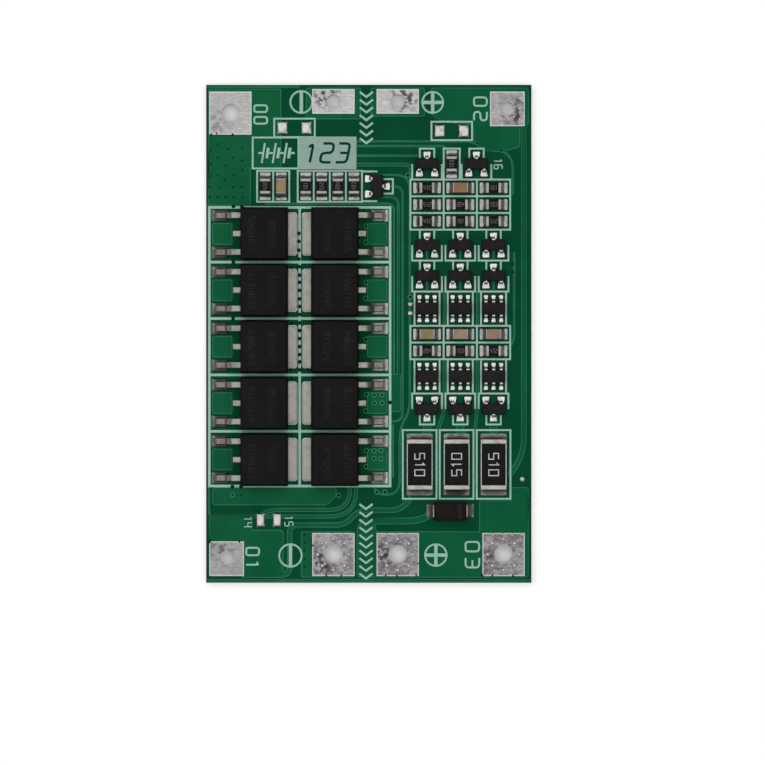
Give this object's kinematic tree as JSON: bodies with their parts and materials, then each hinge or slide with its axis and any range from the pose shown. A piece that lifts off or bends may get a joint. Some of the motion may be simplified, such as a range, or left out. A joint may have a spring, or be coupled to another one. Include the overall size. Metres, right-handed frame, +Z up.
{
  "type": "battery management board",
  "caption": "Flat green battery management board with wire terminals at its ends, power transistors, chip parts and bleed resistors.",
  "frame": {"origin": "under the middle of the board, on the plane that it rests on", "axes": "+X across the board, +Y along it towards the charge terminals, +Z up out of the component side"},
  "size_m": [0.0406, 0.062, 0.0036],
  "materials": {
    "mask": "satin",
    "masked_copper": "satin",
    "ink": "matte",
    "solder": "bright",
    "tinned_pad": "mottled",
    "tinned_metal": "satin",
    "capacitor_ceramic": "satin",
    "resistor_coat": "satin",
    "mould_compound": "matte"
  },
  "bodies": {
    "root": {"bleed_resistor_1": "resistor_coat", "bleed_resistor_2": "resistor_coat", "bleed_resistor_3": "resistor_coat", "board": "mask", "cell_tap_0": "tinned_pad", "cell_tap_1": "tinned_pad", "cell_tap_2": "tinned_pad", "cell_tap_3": "tinned_pad", "charge_negative": "tinned_pad", "charge_positive": "tinned_pad", "chip_capacitors": "capacitor_ceramic", "chip_ends": "tinned_metal", "chip_resistors": "resistor_coat", "copper_tracks": "masked_copper", "diode": "mould_compound", "diode_leads": "tinned_metal", "discharge_negative": "tinned_pad", "discharge_positive": "tinned_pad", "leadframe_1": "tinned_metal", "leadframe_10": "tinned_metal", "leadframe_2": "tinned_metal", "leadframe_3": "tinned_metal", "leadframe_4": "tinned_metal", "leadframe_5": "tinned_metal", "leadframe_6": "tinned_metal", "leadframe_7": "tinned_metal", "leadframe_8": "tinned_metal", "leadframe_9": "tinned_metal", "legend_ink": "ink", "power_transistor_1": "mould_compound", "power_transistor_10": "mould_compound", "power_transistor_2": "mould_compound", "power_transistor_3": "mould_compound", "power_transistor_4": "mould_compound", "power_transistor_5": "mould_compound", "power_transistor_6": "mould_compound", "power_transistor_7": "mould_compound", "power_transistor_8": "mould_compound", "power_transistor_9": "mould_compound", "protection_chip_1": "mould_compound", "protection_chip_2": "mould_compound", "protection_chip_3": "mould_compound", "protection_chip_4": "mould_compound", "protection_chip_5": "mould_compound", "protection_chip_6": "mould_compound", "protection_chip_leads": "tinned_metal", "small_transistor_1": "mould_compound", "small_transistor_10": "mould_compound", "small_transistor_11": "mould_compound", "small_transistor_12": "mould_compound", "small_transistor_2": "mould_compound", "small_transistor_3": "mould_compound", "small_transistor_4": "mould_compound", "small_transistor_5": "mould_compound", "small_transistor_6": "mould_compound", "small_transistor_7": "mould_compound", "small_transistor_8": "mould_compound", "small_transistor_9": "mould_compound", "small_transistor_leads": "tinned_metal", "solder_lands": "solder"}
  },
  "joints": []
}
